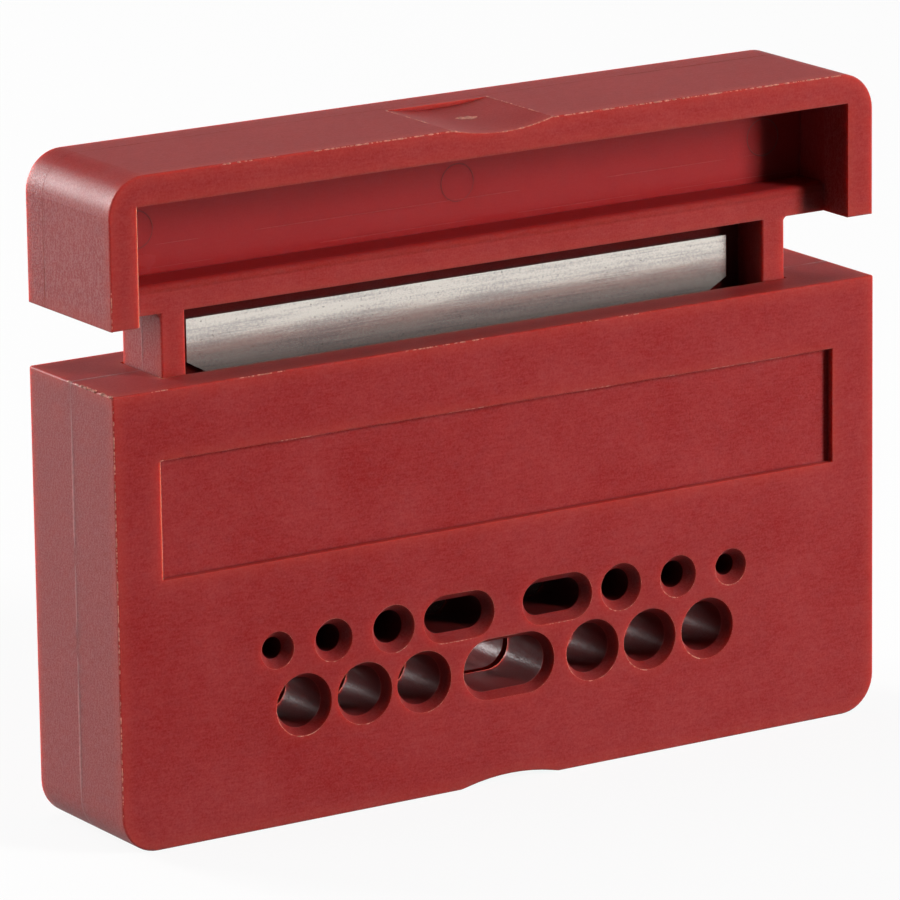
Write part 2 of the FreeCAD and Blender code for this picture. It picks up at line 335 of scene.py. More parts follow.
def bead(path, out, width, height, sink, closed=False):
    """A half-round bead carried along a path.

    With t the path's direction and a = out x t, point (i, j) is
    path_i + width_i cos(u_j) a_i + (height_i sin(u_j) - sink) out_i, u from 0 to pi.
    out and width may be one for the whole path. The flat underside lies sink below the surface, so a low
    stretch of the bead vanishes into it.
    """
    count, sides = len(path), BEAD_SIDES
    out = np.broadcast_to(np.asarray(out, float), path.shape)
    width = np.broadcast_to(width, count)
    if closed:
        along = np.roll(path, -1, axis=0) - np.roll(path, 1, axis=0)
    else:
        along = np.gradient(path, axis=0)
    across = np.cross(out, along)
    across /= np.linalg.norm(across, axis=1, keepdims=True)
    turn = np.linspace(0, math.pi, sides)
    sideways = (width[:, None] * np.cos(turn))[:, :, None] * across[:, None, :]
    upwards = (height[:, None] * np.sin(turn) - sink)[:, :, None] * out[:, None, :]
    vertices = (path[:, None, :] + sideways + upwards).reshape(-1, 3)
    rows = count if closed else count - 1
    i, j = np.meshgrid(np.arange(rows), np.arange(sides), indexing="ij")
    i_next, j_next = (i + 1) % count, (j + 1) % sides
    corners = (i * sides + j, i_next * sides + j, i_next * sides + j_next, i * sides + j_next)
    faces = np.stack(corners, axis=-1).reshape(-1, 4).tolist()
    if not closed:
        faces.append(list(range(sides)))
        faces.append(list(range((count - 1) * sides, count * sides)))
    return vertices, faces


def rough_dome(centre, radii, height, seed, rings=7, spokes=28):
    """A low uneven mound over an ellipse with a wavy edge.

    With r from 1 at the edge to 0, x = a r e cos(u) and y = b r e sin(u), where e is 1 plus two waves of u.
    z = height (1 - r^4) (0.4 + 0.6 noise), sunk by a tenth of the height.
    """
    inwards = np.linspace(1, 0, rings + 1)[:-1]
    around = np.arange(spokes) * 2 * math.pi / spokes
    r, turn = np.meshgrid(inwards, around, indexing="ij")
    lumps = np.random.default_rng(seed).uniform(size=r.shape)
    edge = 1 + 0.25 * np.sin(3 * turn + seed) + 0.12 * np.sin(7 * turn)
    x = centre[0] + radii[0] * r * edge * np.cos(turn)
    y = centre[1] + radii[1] * r * edge * np.sin(turn)
    z = centre[2] + height * (1 - r ** 4) * (0.4 + 0.6 * lumps) - 0.1 * height
    peak = np.array([[centre[0], centre[1], centre[2] + 0.6 * height]])
    vertices = np.vstack([np.stack([x, y, z], axis=-1).reshape(-1, 3), peak])
    i, j = np.meshgrid(np.arange(rings - 1), np.arange(spokes), indexing="ij")
    j_next = (j + 1) % spokes
    corners = (i * spokes + j, i * spokes + j_next, (i + 1) * spokes + j_next, (i + 1) * spokes + j)
    faces = np.stack(corners, axis=-1).reshape(-1, 4).tolist()
    last = (rings - 1) * spokes
    faces += [[last + k, last + (k + 1) % spokes, rings * spokes] for k in range(spokes)]
    faces.append(list(range(spokes)))
    return vertices, faces


def uneven(count, reach, seed):
    """A smooth random row between 0 and 1.

    White noise is averaged with a bell curve of reach stations, brought to a spread of 1 about 0, and pressed
    between 0 and 1 by (1 + tanh(0.9 v)) / 2.
    """
    cut = 3 * reach
    noise_row = np.random.default_rng(seed).normal(size=count + 2 * cut)
    bell = np.exp(-0.5 * (np.arange(-cut, cut + 1) / reach) ** 2)
    row = np.convolve(noise_row, bell, mode="valid")
    row = (row - row.mean()) / row.std()
    return 0.5 * (1 + np.tanh(0.9 * row))


def crumb_line(path, out, sizes, seed, cover, scale=1.0, weight=1.0, closed=False):
    """A line of flash crumbs along an edge.

    Their heights are fine random grains, squared, that stand only where a slow random row is above 1 - cover.
    """
    slow = uneven(len(path), PATCH_REACH, seed)
    patches = np.clip((slow - (1 - cover)) / PATCH_SOFTNESS, 0, 1)
    grains = uneven(len(path), GRAIN_REACH, seed + 1) ** 2
    rise = patches * grains * weight * scale
    width = sizes.crumb_width * (FLAT_SHARE * scale + (1 - FLAT_SHARE) * rise)
    return bead(path, out, width, sizes.crumb_height * rise, FLASH_SINK, closed=closed)


def flash_along(start, end, out, sizes, **settings):
    """A line of flash crumbs along a straight edge."""
    return crumb_line(stations([start, end], sizes.crumb_step), out, sizes, **settings)


def stations(points, step, closed=False):
    """Evenly spaced stations along straight runs between points."""
    points = np.asarray(points, float)
    if closed:
        points = np.vstack([points, points[:1]])
    reach = np.concatenate([[0], np.cumsum(np.linalg.norm(np.diff(points, axis=0), axis=1))])
    runs = max(int(round(reach[-1] / step)), 2)
    places = np.linspace(0, reach[-1], runs + 1)
    row = np.stack([np.interp(places, reach, points[:, k]) for k in range(3)], axis=1)
    return row[:-1] if closed else row


def end_outline(start, half_width, high, low, top_radius, foot_radius, step):
    """The right end of a bar's outline in x and z, and its outward normals, from x = start on the top.

    It goes along the top, round a corner of top_radius, down the end and, where there is one, round the
    foot's corner. A point on an arc is the arc's centre plus its radius times (sin u, cos u), with u from
    0 to 90 degrees at the top and from 90 to 180 at the foot.
    """
    top_turn = np.linspace(0, QUARTER_TURN, TOP_ARC_POINTS)
    foot_turn = np.array([QUARTER_TURN])
    if foot_radius:
        foot_turn = np.linspace(QUARTER_TURN, math.pi, FOOT_ARC_POINTS)[:-1]
    top_run = np.arange(start, half_width - top_radius, step)
    side_run = np.arange(high - top_radius - step, low + foot_radius, -step)
    turns = np.concatenate([0 * top_run, top_turn, 0 * side_run + QUARTER_TURN, foot_turn])
    normals = np.stack([np.sin(turns), np.cos(turns)], axis=1)
    top_arc = half_width - top_radius + top_radius * np.sin(top_turn)
    foot_arc = half_width - foot_radius + foot_radius * np.sin(foot_turn)
    x = np.concatenate([top_run, top_arc, 0 * side_run + half_width, foot_arc])
    top_fall = high - top_radius + top_radius * np.cos(top_turn)
    foot_fall = low + foot_radius + foot_radius * np.cos(foot_turn)
    z = np.concatenate([0 * top_run + high, top_fall, side_run, foot_fall])
    return np.stack([x, z], axis=1), normals


def in_plane(rows, y, side=1):
    """Rows of x and z as points at one depth, mirrored to the left where side is -1."""
    return np.stack([side * rows[:, 0], np.full(len(rows), y), rows[:, 1]], axis=1)


def mouth_outline(x, height, radius, run, step):
    """The rim of a mouth on the front face: two half circles, each run from the middle, and lines between."""
    turn = np.linspace(-QUARTER_TURN, QUARTER_TURN, MOUTH_ARC_POINTS)
    right = np.stack([run + radius * np.cos(turn), radius * np.sin(turn)], axis=1)
    rows = np.vstack([right, -right]) + np.array([x, height])
    return stations(in_plane(rows, FRONT_Y), step, closed=True)


def all_mouths():
    """Each mouth's middle, height, rim radius and half straight run, in metres."""
    mouths = []
    for row, shapes in ((UPPER_ROW, UPPER_MOUTHS), (LOWER_ROW, LOWER_MOUTHS)):
        mouths += [(side * x, row, radius, run) for side, _ in SIDES for x, radius, run in shapes]
    slot_x, slot_radius, slot_run = LOWER_SLOT
    mouths.append((slot_x, LOWER_ROW, slot_radius, slot_run))
    return MM * np.array(mouths)


# Node helpers


def place(tree, kind, inputs=None, **settings):
    """Adds a node, with its settings, and feeds its inputs from values or from other nodes' outputs."""
    node = tree.nodes.new(kind)
    for name, value in settings.items():
        setattr(node, name, value)
    for name, value in (inputs or {}).items():
        if isinstance(value, bpy.types.NodeSocket):
            tree.links.new(value, node.inputs[name])
        else:
            node.inputs[name].default_value = value
    return node


def maths(tree, operation, first, second=0.0, clamp=False):
    """A Math node's result."""
    inputs = {0: first, 1: second}
    return place(tree, "ShaderNodeMath", inputs, operation=operation, use_clamp=clamp).outputs[0]


def ramp(tree, value, low, high, start=0.0, end=1.0):
    """A value carried from the range low..high to start..end, and held at the ends."""
    inputs = {"Value": value, "From Min": low, "From Max": high, "To Min": start, "To Max": end}
    return place(tree, "ShaderNodeMapRange", inputs).outputs["Result"]


def between(tree, factor, first, second):
    """Two values mixed by a factor."""
    return place(tree, "ShaderNodeMix", {0: factor, 2: first, 3: second}).outputs[0]


def blend(tree, factor, first, second, how="MIX"):
    """Two colours mixed by a factor."""
    inputs = {0: factor, 6: first, 7: second}
    return place(tree, "ShaderNodeMix", inputs, data_type="RGBA", blend_type=how).outputs[2]


def along_axis(tree, vector, axis):
    """One part of a vector."""
    return place(tree, "ShaderNodeSeparateXYZ", {0: vector}).outputs[axis]


def sized(tree, position, size):
    """A position divided by a size."""
    scale = maths(tree, "DIVIDE", 1.0, size)
    return place(tree, "ShaderNodeVectorMath", {0: position, "Scale": scale}, operation="SCALE").outputs[0]


def noise(tree, position, stretch, detail=2.0, roughness=0.5):
    """Noise over a position, with the size of its grains along X, Y and Z."""
    scale = [1 / size for size in stretch]
    mapped = place(tree, "ShaderNodeMapping", {"Vector": position, "Scale": scale})
    inputs = {"Vector": mapped.outputs[0], "Scale": 1.0, "Detail": detail, "Roughness": roughness}
    return place(tree, "ShaderNodeTexNoise", inputs).outputs["Fac"]


def new_group(name, inputs, outputs):
    """An empty shader node group with named sockets: (group, its inputs, its output node)."""
    group = bpy.data.node_groups.new(name, "ShaderNodeTree")
    for label, kind in inputs:
        group.interface.new_socket(label, in_out="INPUT", socket_type=kind)
    for label in outputs:
        group.interface.new_socket(label, in_out="OUTPUT", socket_type="NodeSocketFloat")
    return group, group.nodes.new("NodeGroupInput").outputs, group.nodes.new("NodeGroupOutput")


def use_group(tree, name, inputs):
    """The outputs of a group that is placed in a material."""
    return place(tree, "ShaderNodeGroup", inputs, node_tree=bpy.data.node_groups[name]).outputs


def millimetres(tree):
    """Object coordinates in millimetres."""
    where = place(tree, "ShaderNodeTexCoord").outputs["Object"]
    return place(tree, "ShaderNodeMapping", {"Vector": where, "Scale": (1 / MM,) * 3}).outputs[0]


def inside_box(tree, position, low, high):
    """A mask that is 1 between two corners, in millimetres."""
    axes = place(tree, "ShaderNodeSeparateXYZ", {0: position}).outputs
    mask = 1.0
    for axis, least, most in zip(axes, low, high):
        above = ramp(tree, axis, least - AREA_SOFTNESS, least + AREA_SOFTNESS)
        below = ramp(tree, axis, most + AREA_SOFTNESS, most - AREA_SOFTNESS)
        mask = maths(tree, "MULTIPLY", maths(tree, "MULTIPLY", above, below), mask)
    return mask


def ray_masks(tree):
    """Light Path's masks of rays from the camera and of rays from shiny or clear surfaces."""
    rays = place(tree, "ShaderNodeLightPath").outputs
    mirrored = maths(tree, "MAXIMUM", rays["Is Glossy Ray"], rays["Is Transmission Ray"])
    return rays["Is Camera Ray"], mirrored


def empty_tree(owner):
    """The emptied node tree of a new material or world."""
    owner.use_nodes = True
    owner.node_tree.nodes.clear()
    return owner.node_tree


def new_material(name):
    """An empty node material: (material, tree, Principled node)."""
    material = bpy.data.materials.new(name)
    tree = empty_tree(material)
    shader = place(tree, "ShaderNodeBsdfPrincipled")
    place(tree, "ShaderNodeOutputMaterial", {"Surface": shader.outputs[0]})
    return material, tree, shader


def feed(tree, shader, **inputs):
    """Links outputs or sets values on the Principled node's sockets, with _ for a space."""
    for name, value in inputs.items():
        socket = shader.inputs[name.replace("_", " ")]
        if isinstance(value, bpy.types.NodeSocket):
            tree.links.new(value, socket)
        else:
            socket.default_value = value


def tint(values, times=1.0, lift=0.0):
    """A colour property as four numbers, made darker or lighter, or paler by lift."""
    return (*(max(min(value * times + lift, 1.0), 0.0) for value in values), 1.0)


# Shared effects


def make_moulded_grain():
    """Fine grain of moulded plastic: it runs along X on the front, rear and top, and along Z on the ends.

    Tone is the colour's variation about 0.5, Height is for a bump, Patches are the soft blotches alone, and
    Ends is a mask of the block's and the plunger's outer end faces.
    """
    inputs = (("Position", "NodeSocketVector"), ("Grain", "NodeSocketFloat"), ("Blotch", "NodeSocketFloat"))
    group, given, result = new_group("Moulded grain", inputs, ("Tone", "Height", "Patches", "Ends"))
    facing = place(group, "ShaderNodeNewGeometry").outputs["Normal"]
    on_end = ramp(group, maths(group, "ABSOLUTE", along_axis(group, facing, "X")), 0.6, 0.85)
    reach = maths(group, "ABSOLUTE", along_axis(group, given["Position"], "X"))
    ends = maths(group, "MULTIPLY", on_end, ramp(group, reach, END_START, END_FULL))
    fine = sized(group, given["Position"], given["Grain"])
    across = noise(group, fine, (6.0, 1.0, 1.0))
    upright = noise(group, fine, (1.0, 1.0, 5.0))
    speckle = noise(group, fine, (1.0, 1.0, 1.0), detail=1.0)
    streaks = between(group, on_end, across, upright)
    height = between(group, 0.6, streaks, speckle)
    strong = ramp(group, between(group, 0.6, upright, speckle), 0.3, 0.7, 0.2, 0.8)
    broad = sized(group, given["Position"], given["Blotch"])
    patches = noise(group, broad, (1.3, 1.0, 1.3), detail=4.0, roughness=0.6)
    tone = between(group, ends, between(group, 0.35, height, patches), strong)
    for label, value in (("Tone", tone), ("Height", height), ("Patches", patches), ("Ends", ends)):
        group.links.new(value, result.inputs[label])


def make_edge_glow():
    """A soft mask for painted glow along outer edges: short rays inside the piece are cut off where another
    face is near.
    """
    inputs = (("Position", "NodeSocketVector"), ("Reach", "NodeSocketFloat"))
    group, given, result = new_group("Edge glow", inputs, ("Mask",))
    inner = place(group, "ShaderNodeAmbientOcclusion", {"Distance": given["Reach"]},
                  samples=4, inside=True, only_local=True)
    near_edge = ramp(group, inner.outputs["AO"], 0.95, 0.55)
    broken = ramp(group, noise(group, given["Position"], (0.7, 0.7, 0.7), detail=4.0), 0.3, 0.6, 0.6, 1.0)
    group.links.new(maths(group, "MULTIPLY", near_edge, broken, clamp=True), result.inputs["Mask"])


# Finishes


def make_plastic(name, base, end, colours, sizes, gloss, shine, areas,
                 polished=None, coarse=None, seam=0.0):
    """Semi-gloss moulded plastic: soft patches, directional grain, painted edge glow, and ends paler with
    painted sheen and wear.

    base and end are its colours, end being the paler one of the ends' painted sheen and wear; gloss is the
    range of the roughness and shine the specular level. Each of the areas is a box, its colour, the share of
    that colour,
    and how much smoother it is there; the areas' colours are painted shade. polished and coarse are boxes
    too:
    rubbed bright by fibres, and left rough by the mould. Within seam millimetres of the joint between the
    block's halves there is no painted edge glow.
    """
    material, tree, shader = new_material(name)
    position = millimetres(tree)
    grain = use_group(tree, "Moulded grain", {
        "Position": position, "Grain": sizes.grain / MM, "Blotch": sizes.blotch / MM})
    glow = use_group(tree, "Edge glow", {"Position": position, "Reach": sizes.edge_glow})["Mask"]
    if seam:
        depth = maths(tree, "ABSOLUTE", along_axis(tree, position, "Y"))
        glow = maths(tree, "MULTIPLY", glow, ramp(tree, depth, 0.6 * seam, seam))
    # Paler ends: painted sheen, with some wear
    sheen_and_wear = blend(tree, grain["Ends"], tint(base), end)
    dark = blend(tree, 1.0, sheen_and_wear, DARK_GRAIN, how="MULTIPLY")
    pale = blend(tree, 1.0, sheen_and_wear, PALE_GRAIN, how="ADD")
    body = blend(tree, ramp(tree, grain["Tone"], 0.36, 0.64), dark, pale)
    # Painted glow of light coming through along edges
    skin = blend(tree, maths(tree, "MULTIPLY", glow, EDGE_SHARE), body, tint(colours.painted_glow_red))
    dull = ramp(tree, grain["Patches"], 0.3, 0.7, *gloss)
    dull = maths(tree, "SUBTRACT", dull, maths(tree, "MULTIPLY", glow, EDGE_GLOSS))
    # Each area's colour is painted shade; its smoother value is a finish of its own
    for box, colour, share, smoother in areas:
        mask = inside_box(tree, position, *box)
        skin = blend(tree, maths(tree, "MULTIPLY", mask, share), skin, tint(colour))
        dull = maths(tree, "SUBTRACT", dull, maths(tree, "MULTIPLY", mask, smoother))
    height = grain["Height"]
    if polished:
        patchy = ramp(tree, height, 0.4, 0.6, *POLISH_RANGE)
        gleam = maths(tree, "MULTIPLY", inside_box(tree, position, *polished), patchy)
        feed(tree, shader, Coat_Weight=gleam, Coat_Roughness=POLISH_ROUGHNESS)
    if coarse:
        added = maths(tree, "MULTIPLY", inside_box(tree, position, *coarse), COARSE_GAIN)
        height = maths(tree, "MULTIPLY", height, maths(tree, "ADD", added, 1.0))
    bump = place(tree, "ShaderNodeBump", {
        "Height": height, "Strength": GRAIN_STRENGTH, "Distance": GRAIN_DEPTH})
    feed(tree, shader, Base_Color=skin, Roughness=dull, Normal=bump.outputs[0], Specular_IOR_Level=shine)
    feed(tree, shader, Subsurface_Weight=1.0, Subsurface_Radius=LIGHT_REACH, Subsurface_Scale=LIGHT_SCALE)
    return material


def make_crumbly(name, colour, times, dark, roughness):
    """Rubbed or broken plastic: a colour multiplied by times, with grains multiplied by dark as well."""
    _, tree, shader = new_material(name)
    grains = ramp(tree, noise(tree, millimetres(tree), (0.2, 0.2, 0.2), detail=3.0), 0.35, 0.65)
    skin = blend(tree, grains, tint(colour, times * dark), tint(colour, times))
    feed(tree, shader, Base_Color=skin, Roughness=roughness, Specular_IOR_Level=CRUMB_SHINE)


def make_steel(colours):
    """Rolled blade steel: fine brushing along X, soft long stains, a fine speckle and a few pits."""
    material, tree, shader = new_material("blade_steel_brushed")
    position = millimetres(tree)
    brushing = noise(tree, position, (4.0, 0.06, 0.06), detail=3.0)
    stains = noise(tree, position, (4.5, 0.8, 0.5), detail=3.0)
    speckle = noise(tree, position, (0.12, 0.12, 0.1), detail=2.0)
    pits = ramp(tree, noise(tree, position, (0.2, 0.2, 0.15), detail=1.0), 0.7, 0.78)
    cloud = between(tree, 0.3, between(tree, 0.4, stains, brushing), speckle)
    sheet = blend(tree, ramp(tree, cloud, 0.4, 0.55), tint(colours.steel_stain), tint(colours.steel))
    pitted = blend(tree, maths(tree, "MULTIPLY", pits, 0.5), sheet, tint(colours.steel_stain, 0.3))
    waves = noise(tree, position, (1.6, 1.0, 0.5), detail=2.0)
    rolled = place(tree, "ShaderNodeBump", {"Height": waves, "Strength": 0.2, "Distance": 0.02 * MM})
    bump = place(tree, "ShaderNodeBump", {
        "Height": brushing, "Strength": 0.15, "Distance": 0.006 * MM, "Normal": rolled.outputs[0]})
    dull = ramp(tree, stains, 0.35, 0.65, 0.24, 0.18)
    feed(tree, shader, Base_Color=pitted, Metallic=0.78, Roughness=dull, Normal=bump.outputs[0])
    return material


# Studio


def make_floor():
    """A wide pale floor, nearly white to the camera and in shiny surfaces, with the object's shadow on it."""
    material = bpy.data.materials.new("studio_floor")
    tree = empty_tree(material)
    camera_ray, mirrored = ray_masks(tree)
    seen = maths(tree, "MAXIMUM", camera_ray, mirrored)
    matt = place(tree, "ShaderNodeBsdfDiffuse", {"Color": blend(tree, seen, FLOOR_GREY, FLOOR_PALE)})
    white = place(tree, "ShaderNodeEmission", {"Color": WHITE, "Strength": 1.0})
    share = maths(tree, "MULTIPLY", seen, FLOOR_WHITE_SHARE)
    mixed = place(tree, "ShaderNodeMixShader", {0: share, 1: matt.outputs[0], 2: white.outputs[0]})
    place(tree, "ShaderNodeOutputMaterial", {"Surface": mixed.outputs[0]})
    reach = FLOOR_REACH
    corners = [(-reach, -reach, 0), (reach, -reach, 0), (reach, reach, 0), (-reach, reach, 0)]
    mesh = bpy.data.meshes.new("studio_floor")
    mesh.from_pydata(corners, [], [[0, 1, 2, 3]])
    mesh.materials.append(material)
    floor = bpy.data.objects.new("studio_floor", mesh)
    bpy.context.scene.collection.objects.link(floor)


def make_world(ambient):
    """White for the camera, fading upwards to grey in shiny surfaces, and even soft light for the rest."""
    world = bpy.data.worlds.new("studio_world")
    tree = empty_tree(world)
    camera_ray, mirrored = ray_masks(tree)
    direction = place(tree, "ShaderNodeTexCoord").outputs["Generated"]
    sky = ramp(tree, along_axis(tree, direction, "Z"), 0.0, SKY_HEIGHT, SKY_LOW, SKY_HIGH)
    strength = between(tree, camera_ray, between(tree, mirrored, ambient, sky), 1.0)
    light = place(tree, "ShaderNodeBackground", {"Color": WHITE, "Strength": strength})
    place(tree, "ShaderNodeOutputWorld", {"Surface": light.outputs[0]})
    bpy.context.scene.world = world


def make_lamp(name, power, size, direction, distance, mirrored):
    """A soft lamp of some width and height that looks at the middle of the object."""
    lamp = bpy.data.lights.new(name, "AREA")
    lamp.energy = power
    lamp.shape = "RECTANGLE"
    lamp.size, lamp.size_y = size
    middle = Vector((0, 0, CAP_TOP / 2))
    holder = bpy.data.objects.new(name, lamp)
    holder.location = middle + direction.normalized() * distance
    holder.rotation_euler = direction.to_track_quat("Z", "Y").to_euler()
    holder.visible_glossy = mirrored
    bpy.context.scene.collection.objects.link(holder)


def make_camera(studio):
    """The photograph's view: axes from azimuth, elevation and roll, then set back along the view."""
    turn, lift, roll = studio.azimuth, studio.elevation, studio.roll
    back = Vector((math.sin(turn) * math.cos(lift), -math.cos(turn) * math.cos(lift), math.sin(lift)))
    level = Vector((math.cos(turn), math.sin(turn), 0))
    upright = back.cross(level)
    right = math.cos(roll) * level + math.sin(roll) * upright
    up = math.cos(roll) * upright - math.sin(roll) * level
    data = bpy.data.cameras.new("camera")
    data.sensor_width = SENSOR_WIDTH
    data.lens = studio.lens
    data.clip_start = NEAREST_SEEN
    camera = bpy.data.objects.new("camera", data)
    stand = studio.aside * right + studio.raised * up + studio.distance * back
    camera.matrix_world = Matrix.Translation(stand) @ Matrix((right, up, back)).transposed().to_4x4()
    bpy.context.scene.collection.objects.link(camera)
    bpy.context.scene.camera = camera


# Operators


class CUTTER_OT_finishes(bpy.types.Operator):
    """Make the shared effects and put the finishes on the solid pieces"""

    bl_idname = "cutter.finishes"
    bl_label = "Finishes"

    def execute(self, context):
        colours, sizes = context.scene.cutter_colours, context.scene.cutter_sizes
        make_moulded_grain()
        make_edge_glow()
        # The areas' colours are painted shade: in the block's flares and passages, and on the plunger's
        # hollow and ledge and behind its blade
        block_areas = (
            (MOUTH_FLARES, colours.painted_shade, 0.28, 0.0),
            (UPPER_BORES, colours.painted_shade, 0.95, -0.35),
            (LOWER_BORES, colours.painted_shade, 0.65, -0.38),
        )
        plunger_areas = (
            # The finger hollow takes a darker copy of the plunger red as painted shade
            (FINGER_HOLLOW, colours.hollow_shade_red, 0.8, 0.2),
            (LEDGE, colours.painted_shade, 0.25, -0.35),
            (BEHIND_BLADE, colours.painted_shade, 0.8, -0.35),
        )
        block = make_plastic(
            "block_plastic_red", colours.block_red, tint(colours.sheen_and_wear_red), colours, sizes,
            gloss=(0.5, 0.56), shine=0.18, areas=block_areas, polished=LOWER_BORES, seam=0.9)
        # The plunger's ends are paler still, with painted sheen
        plunger = make_plastic(
            "plunger_plastic_red", colours.plunger_red, tint(colours.sheen_and_wear_red, 1.08, 0.012), colours, sizes,
            gloss=(0.42, 0.48), shine=0.15, areas=plunger_areas, coarse=REAR_STRIP)
        blade = make_steel(colours)
        # Dark ejector rings: painted shadow lines of their shallow steps
        make_crumbly("ring_plastic", colours.plunger_red, times=0.62, dark=0.8, roughness=0.55)
        make_crumbly("mark_plastic", colours.plunger_red, times=1.1, dark=0.75, roughness=0.55)
        # The cap's parting line takes the painted glow colour, darkened
        make_crumbly("line_plastic", colours.painted_glow_red, times=0.78, dark=0.7, roughness=0.5)
        make_crumbly("ridge_plastic", colours.ridge_pink, times=1.0, dark=0.7, roughness=0.55)
        # Pale flash crumbs: real flash, with its paleness partly a painted highlight
        make_crumbly("flash_plastic", colours.flash_and_highlight_pink, times=1.0, dark=0.5, roughness=0.5)
        finishes = {"front_shell": block, "rear_shell": block, "plunger": plunger, "blade": blade}
        for node, material in finishes.items():
            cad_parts[node].material_slots[0].material = material
        return {"FINISHED"}


class CUTTER_OT_seam_ridges(bpy.types.Operator):
    """Low ridges where the two block halves meet, at both ends of the block"""

    bl_idname = "cutter.seam_ridges"
    bl_label = "Block seam ridges"

    def execute(self, context):
        sizes = context.scene.cutter_sizes
        rows, normals = end_outline(
            GUIDE_END, HALF_WIDTH, BLOCK_TOP, 0, EDGE_RADIUS, CORNER_RADIUS, LINE_STEP)
        for side, word in SIDES:
            rough = uneven(len(rows), reach=4, seed=11 + side)
            width = sizes.ridge_width * (0.7 + 0.3 * rough)
            height = sizes.ridge_height * (0.4 + 0.6 * rough)
            shape = bead(in_plane(rows, 0, side), in_plane(normals, 0, side), width, height, FLASH_SINK)
            new_piece("seam_ridge_" + word, shape, "ridge_plastic", "block")
        return {"FINISHED"}


class CUTTER_OT_parting_lines(bpy.types.Operator):
    """The mould's parting line round the plunger's cap and down the outside of its legs"""

    bl_idname = "cutter.parting_lines"
    bl_label = "Plunger parting lines"

    def execute(self, context):
        sizes = context.scene.cutter_sizes
        width, height = sizes.hairline_width, sizes.hairline_height
        rows, normals = end_outline(
            0, CAP_HALF_WIDTH, CAP_TOP, CAP_BOTTOM, CORNER_RADIUS, 0, CAP_LINE_STEP)
        path = np.vstack([in_plane(rows, PARTING_Y, -1)[:0:-1], in_plane(rows, PARTING_Y)])
        out = np.vstack([in_plane(normals, 0, -1)[:0:-1], in_plane(normals, 0)])
        rough = uneven(len(path), reach=4, seed=21)
        shape = bead(path, out, width * (0.8 + 0.4 * rough), height * (0.3 + 0.7 * rough), HAIRLINE_SINK)
        new_piece("cap_parting_line", shape, "line_plastic", "plunger_unit")
        for side, word in SIDES:
            x = side * LEG_OUTER
            path = stations([(x, 0, LEG_FOOT), (x, 0, LEG_ROOT)], LINE_STEP)
            rough = uneven(len(path), reach=3, seed=31 + side)
            shape = bead(path, (side, 0, 0), width * (1 + rough), height * (0.5 + rough), HAIRLINE_SINK)
            new_piece("leg_parting_line_" + word, shape, "ridge_plastic", "plunger_unit")
        return {"FINISHED"}


class CUTTER_OT_cap_flash(bpy.types.Operator):
    """Crumbs of flash along the cap's front upper edge, round its scoop and down its front left edge"""

    bl_idname = "cutter.cap_flash"
    bl_label = "Cap flash"

    def execute(self, context):
        sizes = context.scene.cutter_sizes
        reach = CAP_HALF_WIDTH - CORNER_RADIUS
        x = np.arange(-reach, reach, sizes.crumb_step)
        dip = SCOOP_DEPTH - SCOOP_RADIUS + np.sqrt(np.clip(SCOOP_RADIUS ** 2 - x ** 2, 0, None))
        y = FRONT_Y + np.where(dip > EASED, 0, EASED)
        front = np.stack([x, y, CAP_TOP - np.maximum(dip, EASED)], axis=1)
        more_to_the_right = np.interp(x / reach, (-1, 0, 0.3, 1), (0.55, 0.8, 1.1, 1.3))
        lines = [crumb_line(front, FRONT_TOP_LEAN, sizes, seed=41, cover=more_to_the_right)]
        for side, _ in SIDES:
            start, end = (side * SCOOP_HALF, FRONT_Y, CAP_TOP), (side * SCOOP_HALF, SCOOP_END, CAP_TOP)
            lines.append(flash_along(start, end, UPWARDS, sizes, seed=43 + side, cover=0.9, scale=0.8))
        left_x, front_y = EASED - CAP_HALF_WIDTH, FRONT_Y + EASED
        start, end = (left_x, front_y, CAP_BOTTOM), (left_x, front_y, CAP_TOP - CORNER_RADIUS)
        lines.append(flash_along(start, end, FRONT_LEFT_LEAN, sizes, seed=47, cover=0.4, scale=0.6))
        new_piece("cap_flash", joined(lines), "flash_plastic", "plunger_unit")
        return {"FINISHED"}


class CUTTER_OT_block_flash(bpy.types.Operator):
    """Crumbs of flash on the block: front and left upper edges, front left edge and the panel's upper edge"""

    bl_idname = "cutter.block_flash"
    bl_label = "Block flash"

    def execute(self, context):
        sizes = context.scene.cutter_sizes
        left_x, front_y, top = EASED - HALF_WIDTH, FRONT_Y + EASED, BLOCK_TOP - EASED
        lines = [
            flash_along((-FRONT_FLASH_END, front_y, top), (FRONT_FLASH_END, front_y, top),
                        FRONT_TOP_LEAN, sizes, seed=51, cover=0.3, scale=0.8),
            flash_along((left_x, FRONT_Y + EDGE_RADIUS, top), (left_x, LEFT_FLASH_END, top),
                        LEFT_TOP_LEAN, sizes, seed=53, cover=0.95, scale=2.2),
            # A full line of pale crumbs down the front left edge: flash, and a painted highlight where the
            # rounded edge falls dark
            flash_along((left_x, front_y, CORNER_RADIUS), (left_x, front_y, top),
                        FRONT_LEFT_LEAN, sizes, seed=57, cover=1.2, scale=0.8),
            flash_along((-PANEL_HALF, FRONT_Y, PANEL_TOP), (PANEL_HALF, FRONT_Y, PANEL_TOP),
                        FORWARDS, sizes, seed=55, cover=0.4, scale=0.35),
        ]
        new_piece("block_flash", joined(lines), "flash_plastic", "block")
        return {"FINISHED"}


